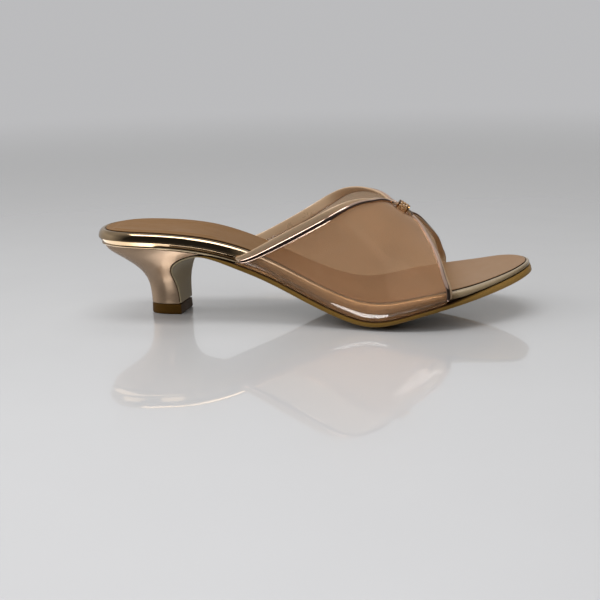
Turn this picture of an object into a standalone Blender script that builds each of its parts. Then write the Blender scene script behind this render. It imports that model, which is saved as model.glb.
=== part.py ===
"""A right-foot mule on a low flared heel, with a see-through band upper and bound edges.

Shapes are worked out in millimetres on the shoe's own stations: a station is the distance from the
back of the heel towards the toe, an offset is the distance from the shoe's line towards its outer side.
Meshes are written in metres, with the toe at +X, the outer side at -Y and the floor at z = 0.
"""

import math

import bmesh
import bpy
import numpy as np
from mathutils import Vector

MM = 0.001
GAP = 0.35  # clearance between pieces that touch

# Driving sizes, in millimetres
SHOE_LENGTH = 255.0  # station of the toe's tip
SEAT_BACK = 2.2  # station of the footbed's back
SEAT_RADIUS = 30.0  # length over which the back of the seat rounds in
FLAP_THICK = 1.1  # the outsole where it runs down the heel's front
FLAP_WIDE = 0.96  # its width, as a share of the heel's front
INSOLE_THICK = 1.3
INSOLE_SINK = 1.0  # how deep the insole lies in the footbed
INSOLE_INSET = 4.4  # from the footbed's widest line
VINYL_THICK = 1.0
VINYL_OUT = 1.4  # middle of the vinyl wall, outside the footbed's widest line
BAND_LIFT = 0.2  # its lower edge above the footbed's underside
BAND_BULGE = 4.0  # how far the band stands out half way up
BINDING_THICK = 1.7
BINDING_WIDTH_LOW = 4.0  # at the sole
BINDING_WIDTH_TOP = 2.4  # at the clasp
BINDING_ENDS = (0.05, 0.965)  # shares of the climb that the strips cover
TOP_PIECE_HEIGHT = 6.0
CLASP_LENGTH = 7.0
CLASP_RADIUS = 2.2
CLASP_ROUND = 0.6
VAMP_CENTRE = 3.0  # offset of the clasp from the shoe's line
MEDIAL_LIFT = 1.4  # the inner side of the band stands this much higher half way up
MEDIAL_FRONT = 3.6  # its front edge lies this much further forward at the sole

# Rows along the sole. lateral and medial are half-widths at the footbed's widest line, under is the height of
# the footbed's underside at its edge, thick is the footbed, dish is how far the middle lies below the edge,
# flare is how far the outsole stands outside the footbed, tread is the outsole's thickness.
SOLE_COLUMNS = ("station", "lateral", "medial", "under", "thick", "dish", "flare", "tread")
SOLE_ROWS = (
    (0, 25.5, 27.6, 44.6, 9.0, 1.6, -2.2, 1.4),
    (30, 25.5, 28.2, 44.1, 9.0, 1.6, -2.2, 1.4),
    (55, 27.0, 28.4, 42.2, 9.2, 1.4, -2.2, 1.4),
    (70, 26.2, 27.6, 39.4, 9.5, 1.2, -1.6, 1.5),
    (85, 24.8, 26.4, 34.8, 9.8, 1.2, 0.8, 2.3),
    (100, 24.7, 25.4, 28.9, 9.8, 1.4, 2.0, 2.6),
    (115, 27.6, 25.6, 21.8, 9.8, 1.8, 2.0, 2.6),
    (130, 32.3, 26.7, 14.7, 9.8, 2.3, 2.0, 2.6),
    (145, 37.3, 28.9, 8.7, 9.8, 3.0, 2.0, 2.6),
    (160, 41.8, 31.8, 5.3, 9.8, 3.3, 2.0, 2.6),
    (175, 44.6, 34.6, 7.4, 8.6, 3.0, 2.0, 2.3),
    (190, 44.8, 36.8, 11.5, 7.2, 2.3, 2.0, 1.9),
    (205, 44.8, 37.5, 15.0, 5.8, 1.7, 1.7, 1.6),
    (220, 44.8, 37.5, 18.3, 4.6, 1.3, 1.0, 1.5),
    (238, 44.8, 37.5, 22.5, 4.1, 1.1, 0.6, 1.5),
    (255, 44.8, 37.5, 26.8, 3.9, 1.0, 0.4, 1.5),
)
# The toe closes each side by a superellipse from the station where that side is widest.
TOE = {"lateral": {"start": 190.0, "power": 1.5}, "medial": {"start": 205.0, "power": 2.2}}

# Side of the footbed from its underside to the insole's edge: a slanted lower band, a crease, then a bead.
RIM_COLUMNS = ("inset", "rise")
RIM_ROWS = (
    (2.6, 0.0),
    (0.9, 0.3),
    (0.0, 0.5),
    (0.1, 0.62),
    (0.8, 0.82),
    (2.1, 0.96),
    (3.4, 1.0),
    (4.0, 0.98),
)
UNDER_INSET = RIM_ROWS[0][0]
SUNK_INSET = RIM_ROWS[-1][0]

# Rows up the heel, as a share of the height from the top piece to the seat. back and front are stations,
# turn is how far the flat front is turned towards the outer side, square is how boxy the back is.
HEEL_COLUMNS = ("share", "back", "front", "centre", "half", "turn", "square")
HEEL_ROWS = (
    (0.00, 30.5, 50.3, -5.0, 9.2, 16.0, 2.8),
    (0.21, 30.0, 49.8, -5.0, 9.2, 16.0, 2.8),
    (0.40, 28.3, 48.8, -4.8, 9.9, 16.0, 2.7),
    (0.56, 24.5, 48.4, -4.4, 11.8, 15.0, 2.6),
    (0.70, 18.5, 49.8, -3.7, 15.0, 13.0, 2.5),
    (0.82, 11.5, 53.4, -2.9, 19.0, 11.0, 2.4),
    (0.91, 6.6, 58.2, -2.0, 22.6, 9.5, 2.3),
    (1.00, 4.8, 65.0, -1.0, 24.6, 8.0, 2.3),
)
FLAP_SHARES = (0.60, 0.68, 0.76, 0.83, 0.89, 0.94)  # rows of the outsole that lie on the heel's front

# Rows up the band from the sole to the clasp. in is the share of the way from the sole's edge to the clasp,
# below 0 where the band leans out; up is the height above the sole's edge.
BAND_COLUMNS = ("climb", "rear_station", "rear_in", "rear_up", "front_station", "front_in", "front_up")
BAND_ROWS = (
    (0.00, 79.5, 0.00, 0.0, 205.0, 0.00, 0.0),
    (0.10, 90.0, -0.08, 2.8, 205.2, 0.00, 6.0),
    (0.25, 104.0, -0.17, 8.3, 203.4, 0.09, 12.0),
    (0.42, 122.0, -0.28, 17.3, 201.2, 0.25, 18.6),
    (0.56, 135.0, -0.36, 24.6, 199.0, 0.42, 23.6),
    (0.66, 144.0, -0.22, 29.5, 196.9, 0.56, 27.2),
    (0.76, 152.8, 0.08, 32.4, 194.3, 0.71, 31.2),
    (0.86, 161.5, 0.41, 32.9, 191.2, 0.84, 35.8),
    (0.93, 168.5, 0.72, 31.2, 188.0, 0.93, 39.2),
    (1.00, 174.5, 1.00, 26.4, 184.0, 1.00, 41.4),
)

# Mesh density
SOLE_STEPS = 40
SOLE_ACROSS = 8
HEEL_AROUND = 12
HEEL_ACROSS = 8
BAND_CLIMB = 18
BAND_ALONG = 12
BINDING_STEPS = 26
BINDING_SIDES = 8
CLASP_SIDES = 16


def smooth(x, xs, ys):
    """A cubic through the table's points, whose slope at each is that of its two neighbours."""
    x = np.asarray(x, float)
    slope = np.gradient(ys, xs)
    i = np.clip(np.searchsorted(xs, x, side="right") - 1, 0, len(xs) - 2)
    width = xs[i + 1] - xs[i]
    t = (np.clip(x, xs[0], xs[-1]) - xs[i]) / width
    start = ys[i] * (1 + 2 * t) + slope[i] * width * t
    end = ys[i + 1] * (3 - 2 * t) + slope[i + 1] * width * (t - 1)
    return start * (1 - t) ** 2 + end * t**2


def reader(columns, rows):
    """A function that gives any column of a table at any value of its first column."""
    table = np.array(rows, float)
    return lambda name, at: smooth(at, table[:, 0], table[:, columns.index(name)])


sole = reader(SOLE_COLUMNS, SOLE_ROWS)
heel = reader(HEEL_COLUMNS, HEEL_ROWS)
band = reader(BAND_COLUMNS, BAND_ROWS)


def closing(side, station):
    """How far one side of the outline is closed in: 1 along the sole, 0 at the back and at the tip."""
    station = np.asarray(station, float)
    toe = TOE[side]
    back = np.clip(1 - (station - SEAT_BACK) / SEAT_RADIUS, 0, 1)
    ahead = np.clip((station - toe["start"]) / (SHOE_LENGTH - toe["start"]), 0, 1)
    return np.sqrt(1 - back**2) * np.clip(1 - ahead ** toe["power"], 0, 1) ** (1 / toe["power"])


def half_width(side, station):
    """Half-width of one side at the footbed's widest line."""
    return sole(side, station) * closing(side, station)


def outline(out):
    """The outline moved outwards, as rows of (station, offset) from back to tip: outer side, then inner."""
    run = (1 - np.cos(np.linspace(0, math.pi, SOLE_STEPS + 1))) / 2
    station = SEAT_BACK + (SHOE_LENGTH - SEAT_BACK) * run
    lateral = np.c_[station, half_width("lateral", station)]
    medial = np.c_[station, -half_width("medial", station)]
    loop = np.r_[lateral, medial[-2:0:-1]]
    along = np.roll(loop, -1, 0) - np.roll(loop, 1, 0)
    normal = np.c_[-along[:, 1], along[:, 0]] / np.linalg.norm(along, axis=1)[:, None]
    distance = out(loop[:, 0]) if callable(out) else np.full(len(loop), out)
    loop = loop + normal * distance[:, None]
    return loop[: SOLE_STEPS + 1], np.r_[loop[:1], loop[:SOLE_STEPS:-1], loop[SOLE_STEPS : SOLE_STEPS + 1]]


def across(out, columns=SOLE_ACROSS):
    """The outline's plan as a grid: a row for each station, running from the outer edge to the inner one."""
    lateral, medial = outline(out)
    mix = np.linspace(0, 1, columns + 1)[None, :, None]
    return lateral[:, None] * (1 - mix) + medial[:, None] * mix


def under(plan):
    """Height of the footbed's underside over a plan, lower in the middle than at the edges."""
    station, offset = plan[..., 0], plan[..., 1]
    lateral = half_width("lateral", station) - UNDER_INSET
    medial = half_width("medial", station) - UNDER_INSET
    half = np.maximum((lateral + medial) / 2, 1.0)
    share = np.clip(np.abs(offset - (lateral - medial) / 2) / half, 0, 1)
    return sole("under", station) - sole("dish", station) * closing("medial", station) * (1 - share**2.5)


def raised(plan, height):
    """A plan with its heights, as points."""
    return np.concatenate([plan, height[..., None]], -1)


def unit(vectors):
    return vectors / np.maximum(np.linalg.norm(vectors, axis=-1, keepdims=True), 1e-9)


def finish(name, colour, roughness, metallic=0.0, transmission=0.0):
    """A plain material for one piece."""
    made = bpy.data.materials.new(name)
    made.use_nodes = True
    shader = made.node_tree.nodes["Principled BSDF"]
    shader.inputs["Base Color"].default_value = (*colour, 1.0)
    shader.inputs["Roughness"].default_value = roughness
    shader.inputs["Metallic"].default_value = metallic
    shader.inputs["Transmission Weight"].default_value = transmission
    return made


def add_object(name, points, faces, material, collection):
    """A mesh object from points in millimetres of (station, offset, height)."""
    mesh = bpy.data.meshes.new(name)
    mesh.from_pydata((np.asarray(points, float) * (MM, -MM, MM)).tolist(), [], faces)
    body = bmesh.new()
    body.from_mesh(mesh)
    bmesh.ops.remove_doubles(body, verts=body.verts, dist=MM * 0.001)
    bmesh.ops.recalc_face_normals(body, faces=body.faces)
    body.to_mesh(mesh)
    body.free()
    mesh.materials.append(material)
    mesh.shade_smooth()
    mesh.set_sharp_from_angle(angle=math.radians(35))
    piece = bpy.data.objects.new(name, mesh)
    collection.objects.link(piece)
    return piece


def grid_faces(rows, columns, first=0, wrap=False):
    """Quads over points numbered row by row; wrap joins the last column to the first."""
    faces = []
    for row in range(rows - 1):
        for c in range(columns if wrap else columns - 1):
            here = first + row * columns + c
            beside = first + row * columns + (c + 1) % columns
            faces.append((here, beside, beside + columns, here + columns))
    return faces


def grid_edge(rows, columns, first=0):
    """The points round a grid, in order."""
    down = [first + r * columns for r in range(rows)]
    end = [first + (rows - 1) * columns + c for c in range(1, columns)]
    up = [first + r * columns + columns - 1 for r in range(rows - 2, -1, -1)]
    return down + end + up + [first + c for c in range(columns - 2, 0, -1)]


def wall_faces(one, other):
    """Quads between two equally long closed rows of points."""
    return [(one[i - 1], one[i], other[i], other[i - 1]) for i in range(len(one))]


def slab(name, lower, upper, material, collection):
    """A closed solid between two grids of points of the same shape."""
    rows, columns = lower.shape[:2]
    count = rows * columns
    faces = grid_faces(rows, columns) + grid_faces(rows, columns, first=count)
    faces += wall_faces(grid_edge(rows, columns), grid_edge(rows, columns, first=count))
    return add_object(name, np.r_[lower.reshape(-1, 3), upper.reshape(-1, 3)], faces, material, collection)


def loft(name, rings, material, collection):
    """A closed solid through rings of equally many points, with a fan at each end."""
    rings = np.asarray(rings, float)
    count, around = rings.shape[:2]
    points = np.r_[rings.reshape(-1, 3), rings[0].mean(0)[None], rings[-1].mean(0)[None]]
    faces = grid_faces(count, around, wrap=True)
    top = (count - 1) * around
    for i in range(around):
        after = (i + 1) % around
        faces.append((after, i, count * around))
        faces.append((top + i, top + after, count * around + 1))
    return add_object(name, points, faces, material, collection)


def sunk_top(plan):
    """Height of the footbed's top, where the insole lies."""
    return under(plan) + sole("thick", plan[..., 0]) - INSOLE_SINK


def make_footbed(collection):
    """The platform: a rim with a lower band, a crease and a bead, and a sunk top for the insole."""
    rings = []
    for inset, rise in RIM_ROWS:
        lateral, medial = outline(-inset)
        loop = np.r_[lateral, medial[-2:0:-1]]
        foot = sole("under", loop[:, 0]) if rise else under(loop)
        rings.append(raised(loop, foot + rise * sole("thick", loop[:, 0])))
    points = np.concatenate(rings)
    around = len(rings[0])
    faces = grid_faces(len(rings), around, wrap=True)
    for inset, height in ((UNDER_INSET, under), (SUNK_INSET, sunk_top)):
        plan = across(-inset)
        rows, columns = plan.shape[:2]
        first = len(points)
        faces += grid_faces(rows, columns, first)
        points = np.r_[points, raised(plan, height(plan)).reshape(-1, 3)]
        if height is sunk_top:
            lateral = [first + r * columns for r in range(rows)]
            medial = [first + r * columns + columns - 1 for r in range(rows - 2, 0, -1)]
            bead = list(range((len(rings) - 1) * around, len(rings) * around))
            faces += wall_faces(bead, lateral + medial)
    material = finish("rose gold patent", (0.42, 0.27, 0.18), 0.22, metallic=0.85)
    return add_object("footbed", points, faces, material, collection)


def make_insole(collection):
    """The sock lining, lying sunk in the footbed's top."""
    plan = across(-INSOLE_INSET)
    lower = sunk_top(plan) + GAP
    material = finish("nude lining", (0.36, 0.23, 0.14), 0.4)
    return slab("insole", raised(plan, lower), raised(plan, lower + INSOLE_THICK), material, collection)


def heel_front(share, place):
    """Plan of the heel's flat front, where place runs from 1 at the outer corner to -1 at the inner one."""
    reach = heel("half", share) * place
    station = heel("front", share) - np.tan(np.radians(heel("turn", share))) * reach
    return np.stack([station, heel("centre", share) + reach], -1)


def heel_ring(share):
    """Plan of one level of the heel: round the back from corner to corner, then along the flat front."""
    turn = np.linspace(math.pi / 2, -math.pi / 2, 2 * HEEL_AROUND + 1)
    power = 2 / heel("square", share)
    place = np.sign(turn) * np.abs(np.sin(turn)) ** power
    round_back = np.abs(np.cos(turn)) ** power
    plan = heel_front(share, place)
    plan[:, 0] += (heel("back", share) - plan[:, 0]) * round_back
    return np.r_[plan, heel_front(share, np.linspace(-1, 1, HEEL_ACROSS + 1)[1:-1])]


def lifted(plan, share):
    """A level of the heel at its share of the way from the top piece to the seat."""
    low = TOP_PIECE_HEIGHT + GAP
    return raised(plan, low + share * (under(plan) - GAP - low))


def shrunk(plan, scale):
    middle = plan.mean(0)
    return middle + (plan - middle) * scale


def make_heel(collection):
    """The covered heel block, from its seat down to the top piece."""
    rings = [lifted(heel_ring(row[0]), row[0]) for row in HEEL_ROWS]
    rings += [lifted(shrunk(heel_ring(1.0), scale), 1.0) for scale in (0.75, 0.5, 0.25)]
    material = finish("rose gold satin", (0.40, 0.29, 0.22), 0.35, metallic=0.8)
    return loft("heel", rings, material, collection)


def make_top_piece(collection):
    """The wearing tip under the heel, flat on the floor."""
    plan = heel_ring(0.0)
    rings = []
    for height, scale in ((0.0, 1.0), (0.7, 1.03), (TOP_PIECE_HEIGHT, 1.0)):
        rings.append(raised(shrunk(plan, scale), np.full(len(plan), height)))
    return loft("top_piece", rings, finish("brown tip", (0.09, 0.045, 0.012), 0.45), collection)


def make_outsole(collection):
    """The thin sole: down the heel's front, under the arch, flat on the floor at the ball, up to the toe."""
    place = np.linspace(FLAP_WIDE, -FLAP_WIDE, SOLE_ACROSS + 1)
    flap = np.array([lifted(heel_front(share, place), share) for share in FLAP_SHARES])
    plan = across(lambda station: sole("flare", station))
    plan = plan[plan[:, 0, 0] > heel("front", 1.0) + 6]
    face = np.concatenate([flap, raised(plan, under(plan) - GAP)])
    down = unit(np.cross(np.gradient(face, axis=0), np.gradient(face, axis=1) + 1e-9))
    down[-1] = down[-2]
    on_heel = (np.arange(len(face)) < len(flap))[:, None, None]
    upper = face + down * np.where(on_heel, GAP, 0)
    lower = upper + down * np.where(on_heel, FLAP_THICK, sole("tread", face[..., :1]))
    lower[..., 2] = np.maximum(lower[..., 2], 0)
    return slab("outsole", lower, upper, finish("olive sole", (0.16, 0.10, 0.03), 0.5), collection)


def band_edge(side, station):
    """Where the band meets the sole, at any station."""
    offset = half_width(side, station) + VINYL_OUT
    if side == "medial":
        offset = -offset
    return np.stack([station, offset, sole("under", station) + BAND_LIFT], -1)


def band_end(side, end, climb):
    """The band's rear or front edge."""
    inner = float(side == "medial")
    ahead = MEDIAL_FRONT * inner * (end == "front")
    start = band(end + "_station", np.zeros_like(climb)) + ahead
    foot = band_edge(side, start)
    station = band(end + "_station", climb) + ahead * (1 - climb**2)
    inwards = band(end + "_in", climb)
    offset = foot[..., 1] * (1 - inwards) + VAMP_CENTRE * inwards
    height = foot[..., 2] + band(end + "_up", climb) + inner * MEDIAL_LIFT * np.sin(math.pi * climb)
    return np.stack([station, offset, height], -1)


def band_point(side, climb, along):
    """A point of the band: climb runs from the sole to the clasp, along from the rear edge to the front one.

    Each level is a straight line from the rear edge to the front edge, pulled towards the sole's curved edge
    the nearer it lies to it, and swelled outwards half way up.
    """
    climb, along = np.broadcast_arrays(np.asarray(climb, float), np.asarray(along, float))
    sign = 1 if side == "lateral" else -1
    mix = along[..., None]

    def level(climb):
        return band_end(side, "rear", climb) * (1 - mix) + band_end(side, "front", climb) * mix

    foot = level(np.zeros_like(climb))
    pull = ((1 - climb) ** 2 * (1 + 2 * climb))[..., None]
    point = level(climb) + pull * (band_edge(side, foot[..., 0]) - foot)
    point[..., 1] += sign * BAND_BULGE * np.sin(math.pi * along) * np.sin(math.pi * climb)
    return point


def edge_frame(side, end, climb):
    """Directions into and out of the band at one edge, and how much of a level one millimetre is there."""
    at = 0.0 if end == "rear" else 1.0
    step = 0.01 if end == "rear" else -0.01
    tangent = unit(np.gradient(band_point(side, climb, at), axis=0))
    into = band_point(side, climb, at + step) - band_point(side, climb, at)
    per_step = np.linalg.norm(into, axis=-1)
    square = into - tangent * (into * tangent).sum(-1, keepdims=True)
    per_mm = abs(step) / np.maximum(np.linalg.norm(square, axis=-1), 0.35 * per_step)
    return unit(square), unit(np.cross(tangent, square)), per_mm


def binding_width(climb):
    return BINDING_WIDTH_LOW + (BINDING_WIDTH_TOP - BINDING_WIDTH_LOW) * climb


def make_upper(collection):
    """The see-through band: one sheet over the foot, trimmed where the strips take over, with a real wall."""
    climb = np.linspace(0, 1, BAND_CLIMB + 1)
    trim = binding_width(climb) + GAP
    sides = []
    for side in ("lateral", "medial"):
        start = trim * edge_frame(side, "rear", climb)[2]
        end = 1 - trim * edge_frame(side, "front", climb)[2]
        along = start[:, None] + (end - start)[:, None] * np.linspace(0, 1, BAND_ALONG + 1)
        sides.append(band_point(side, climb[:, None], along))
    sheet = np.r_[sides[0], sides[1][-2::-1]]
    material = finish("amber vinyl", (0.80, 0.56, 0.38), 0.08, transmission=0.9)
    piece = add_object("upper", sheet.reshape(-1, 3), grid_faces(*sheet.shape[:2]), material, collection)
    wall = piece.modifiers.new("wall", "SOLIDIFY")
    wall.thickness = VINYL_THICK * MM
    wall.offset = 0.0
    wall.use_even_offset = True
    return piece


def make_binding(side, end, collection):
    """A flat oval strip along one edge of the band, wider at the sole than at the clasp."""
    climb = np.linspace(*BINDING_ENDS, BINDING_STEPS + 1)
    into, out, per_mm = edge_frame(side, end, climb)
    width = binding_width(climb)[:, None]
    at = np.clip(binding_width(climb) / 2 * per_mm, 0, 0.5)
    path = band_point(side, climb, at if end == "rear" else 1 - at)
    turn = np.linspace(0, 2 * math.pi, BINDING_SIDES + 1)[:-1] + math.pi / BINDING_SIDES
    rings = []
    for angle in turn:
        rings.append(path + into * np.cos(angle) * width / 2 + out * np.sin(angle) * BINDING_THICK / 2)
    material = finish(f"rose gold strip {end} {side}", (0.45, 0.29, 0.20), 0.2, metallic=0.9)
    return loft(f"{end}_binding_{side}", np.stack(rings, 1), material, collection)


def make_clasp(collection):
    """The little barrel on top of the band, lying along it."""
    ends = band_point("lateral", 1.0, np.array([0.0, 1.0]))
    axis = Vector(unit(ends[1] - ends[0]) * (1, -1, 1))
    out = axis.cross(Vector((0, 1, 0)))
    middle = Vector(ends.mean(0) * (1, -1, 1)) + out * (VINYL_THICK / 2 + 2 * GAP + CLASP_RADIUS)
    barrel = bmesh.new()
    size = {"radius1": CLASP_RADIUS * MM, "radius2": CLASP_RADIUS * MM, "depth": CLASP_LENGTH * MM}
    bmesh.ops.create_cone(barrel, cap_ends=True, segments=CLASP_SIDES, **size)
    mesh = bpy.data.meshes.new("clasp")
    barrel.to_mesh(mesh)
    barrel.free()
    mesh.materials.append(finish("rose gold clasp", (0.50, 0.32, 0.23), 0.18, metallic=1.0))
    piece = bpy.data.objects.new("clasp", mesh)
    piece.location = middle * MM
    piece.rotation_euler = axis.to_track_quat("Z", "Y").to_euler()
    collection.objects.link(piece)
    soft = piece.modifiers.new("rounded ends", "BEVEL")
    soft.width = CLASP_ROUND * MM
    soft.segments = 2
    soft.limit_method = "ANGLE"
    return piece


def stand(collection):
    """Gathers the pieces under an empty, so that the shoe stands over the middle of its footprint."""
    root = bpy.data.objects.new("shoe", None)
    pieces = list(collection.objects)
    bpy.context.view_layer.update()
    corners = np.array([piece.matrix_world @ Vector(c) for piece in pieces for c in piece.bound_box])
    low, high = corners.min(0), corners.max(0)
    root.location = (-(low[0] + high[0]) / 2, -(low[1] + high[1]) / 2, 0)
    collection.objects.link(root)
    for piece in pieces:
        piece.parent = root


def build():
    for old in list(bpy.data.objects):
        bpy.data.objects.remove(old)
    collection = bpy.data.collections.new("kitten heel mule")
    bpy.context.scene.collection.children.link(collection)
    make_footbed(collection)
    make_insole(collection)
    make_outsole(collection)
    make_heel(collection)
    make_top_piece(collection)
    make_upper(collection)
    for end in ("rear", "front"):
        for side in ("lateral", "medial"):
            make_binding(side, end, collection)
    make_clasp(collection)
    stand(collection)


build()
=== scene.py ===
import math

import bmesh
import bpy
import numpy as np
from mathutils import Matrix, Vector


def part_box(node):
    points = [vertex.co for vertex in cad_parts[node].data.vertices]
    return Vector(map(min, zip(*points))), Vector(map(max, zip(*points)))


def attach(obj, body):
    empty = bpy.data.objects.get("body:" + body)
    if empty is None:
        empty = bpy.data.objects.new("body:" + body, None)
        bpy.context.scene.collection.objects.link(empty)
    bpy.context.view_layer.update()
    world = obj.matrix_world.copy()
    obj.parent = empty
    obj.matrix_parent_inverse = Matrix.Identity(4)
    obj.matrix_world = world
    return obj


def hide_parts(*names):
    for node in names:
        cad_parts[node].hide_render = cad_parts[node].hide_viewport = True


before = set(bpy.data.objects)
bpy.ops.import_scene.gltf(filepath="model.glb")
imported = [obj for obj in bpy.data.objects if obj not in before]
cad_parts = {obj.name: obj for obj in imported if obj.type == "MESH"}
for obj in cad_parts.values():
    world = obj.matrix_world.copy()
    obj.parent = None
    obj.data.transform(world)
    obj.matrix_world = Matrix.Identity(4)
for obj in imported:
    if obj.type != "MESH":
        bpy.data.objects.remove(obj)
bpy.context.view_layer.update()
mm = 0.001
scene = bpy.context.scene
print("frame loaded:", len(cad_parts), "solids")

# The last: stations run from the back of the heel to the toe, offsets run to the outer side, all in mm.
# lateral and medial are half widths at the footbed's widest line, under is its underside at the edge,
# dish is how far its middle hangs lower, flare is how far the sole stands out of it, tread is the sole.
last = {
    "length": 255,
    "seatBack": 2.2, "seatRound": 30, "seatPower": 2.15,
    "toeStart": {"lateral": 190, "medial": 205},
    "toePower": {"lateral": 1.5, "medial": 2.2},
    "underInset": 2.6,
    "clearance": 0.35,
    "tipStations": (226, 253), "tipNarrow": 0.5,
    "steps": 260,
    "softening": 6,  # passes over the whole outline
    "bluntFrom": (240, 250),  # and more over the toe's tip
    "blunting": 70,
    "dishPower": 2.5,
    "claspOffset": 3,  # of the clasp from the shoe's line
    "planPoints": 1601,  # of a side, before it is spaced evenly
}
soleRows = {
    "station": (0, 30, 55, 70, 85, 100, 115, 130, 145, 160, 175, 190, 205, 220, 238, 255),
    "lateral": (
        25.5, 25.5, 27, 26.2, 24.8, 24.7, 27.6, 32.3, 37.3, 41.8, 44.6, 44.8, 44.8, 44.8, 44.8, 44.8,
    ),
    "medial": (
        27.6, 28.2, 28.4, 27.6, 26.4, 25.4, 25.6, 26.7, 28.9, 31.8, 34.6, 36.8, 37.5, 37.5, 37.5, 37.5,
    ),
    "under": (44.6, 44.1, 42.2, 39.4, 34.8, 28.9, 21.8, 14.7, 8.7, 5.3, 7.4, 11.5, 15.2, 19.1, 23.7, 28),
    "thick": (9, 9, 9.2, 9.5, 9.8, 9.8, 9.8, 9.8, 9.8, 9.8, 8.6, 7.2, 5.6, 3.8, 2.9, 2.7),
    "dish": (1.6, 1.6, 1.4, 1.2, 1.2, 1.4, 1.8, 2.3, 3, 3.3, 3, 2.3, 1.7, 1.3, 1.1, 1),
    "flare": (-2.2, -2.2, -2.2, -1.6, 0.8, 2, 2, 2, 2, 2, 2, 2, 1.7, 1, 0.6, 0.4),
    "tread": (1.4, 1.4, 1.4, 1.5, 2.3, 2.6, 2.6, 2.6, 2.6, 2.6, 2.4, 2.2, 2.3, 3, 3.5, 3.5),
}
shift = np.array([
    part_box("footbed")[0].x / mm - last["seatBack"],
    (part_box("clasp")[0].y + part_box("clasp")[1].y) / 2 / mm + last["claspOffset"],
    0.0,
])
sideSign = {"lateral": 1, "medial": -1}


# natural cubic through the rows: the second slopes come from one linear solve
def spline(at, xs, ys):
    xs, ys = np.asarray(xs, float), np.asarray(ys, float)
    gap = np.diff(xs)
    inner = np.arange(1, len(xs) - 1)
    system = np.eye(len(xs))
    system[inner, inner - 1] = gap[:-1]
    system[inner, inner] = 2 * (gap[:-1] + gap[1:])
    system[inner, inner + 1] = gap[1:]
    bend = np.linalg.solve(system, np.r_[0, 6 * np.diff(np.diff(ys) / gap), 0])
    at = np.clip(at, xs[0], xs[-1])
    i = np.clip(np.searchsorted(xs, at, side="right") - 1, 0, len(xs) - 2)
    left, right, wide = at - xs[i], xs[i + 1] - at, gap[i]
    curved = (bend[i] * right**3 + bend[i + 1] * left**3) / (6 * wide)
    fromLeft = (ys[i] / wide - bend[i] * wide / 6) * right
    fromRight = (ys[i + 1] / wide - bend[i + 1] * wide / 6) * left
    return curved + fromLeft + fromRight


# running length: the sum of the steps between points
def lengthAlong(points):
    return np.r_[0, np.cumsum(np.linalg.norm(np.diff(points, axis=0), axis=1))]


# a path through points, re-spaced evenly along its length
def refine(points, count):
    points = np.asarray(points, float)
    length = lengthAlong(points)
    at = np.linspace(0, length[-1], count)
    return np.stack([spline(at, length, points[:, c]) for c in range(points.shape[1])], -1)


# straight runs between points, with the corners rubbed round
def roundedLine(points, count, passes):
    length = lengthAlong(points)
    at = np.linspace(0, length[-1], count)
    line = np.stack([np.interp(at, length, points[:, c]) for c in range(points.shape[1])], -1)
    for _ in range(passes):
        line[1:-1] = (line[:-2] + 2 * line[1:-1] + line[2:]) / 4
    return line


# each vector divided by its length
def unit(vectors):
    return vectors / np.maximum(np.linalg.norm(vectors, axis=-1, keepdims=True), 1e-9)


# cosine and sine at even turns
def circle(sides):
    turn = np.linspace(0, 2 * math.pi, sides + 1)[:-1]
    return np.stack([np.cos(turn), np.sin(turn)], -1)


# 0 at low, 1 at high, and between them t squared times 3 less 2t
def smoothStep(low, high, value):
    t = np.clip((value - low) / (high - low), 0, 1)
    return t * t * (3 - 2 * t)


# a row of the last at any station, by the cubic through it
def soleAt(name, station):
    return spline(station, soleRows["station"], soleRows[name])


# 1 along the sole, 0 at the back of the seat and at the tip: a superellipse at each end
def closing(side, station):
    back = np.clip(1 - (station - last["seatBack"]) / last["seatRound"], 0, 1)
    start, power = last["toeStart"][side], last["toePower"][side]
    ahead = np.clip((station - start) / (last["length"] - start), 0, 1)
    seat = (1 - back ** last["seatPower"]) ** (1 / last["seatPower"])
    return seat * np.clip(1 - ahead**power, 0, 1) ** (1 / power)


# half width of one side: its row, brought to 0 at both ends
def halfWidth(side, station):
    return soleAt(side, station) * closing(side, station)


# plan of the widest line, evenly spaced on each side, softened, with its outward plan normals
def planLoop():
    run = (1 - np.cos(np.linspace(0, math.pi, last["planPoints"]))) / 2
    station = last["seatBack"] + (last["length"] - last["seatBack"]) * run
    sides = []
    for name, sign in sideSign.items():
        line = np.c_[station, sign * halfWidth(name, station)]
        length = lengthAlong(line)
        at = np.linspace(0, length[-1], last["steps"] + 1)
        sides.append(np.c_[np.interp(at, length, line[:, 0]), np.interp(at, length, line[:, 1])])
    loop = np.r_[sides[0], sides[1][-2:0:-1]]
    tip = smoothStep(*last["bluntFrom"], loop[:, :1])
    for i in range(last["softening"] + last["blunting"]):
        softer = (np.roll(loop, 1, 0) + 2 * loop + np.roll(loop, -1, 0)) / 4
        loop = softer if i < last["softening"] else loop + (softer - loop) * tip
    along = np.roll(loop, -1, 0) - np.roll(loop, 1, 0)
    return loop, unit(np.c_[-along[:, 1], along[:, 0]])


widest, outward = planLoop()
across = (-np.arange(len(widest))) % len(widest)  # the point straight across, on the other side


# a ring a given way in from the widest line, less so at the tip, where the bead narrows
def ringAt(inset):
    narrow = 1 - last["tipNarrow"] * smoothStep(*last["tipStations"], widest[:, 0])
    return widest - outward * (inset * narrow)[..., None]


# rings shrinking from a rim ring to the line half way between its two sides
def capRings(rim, shares):
    middle = (rim + rim[across]) / 2
    return middle + (rim - middle) * np.asarray(shares)[:, None, None]


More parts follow.
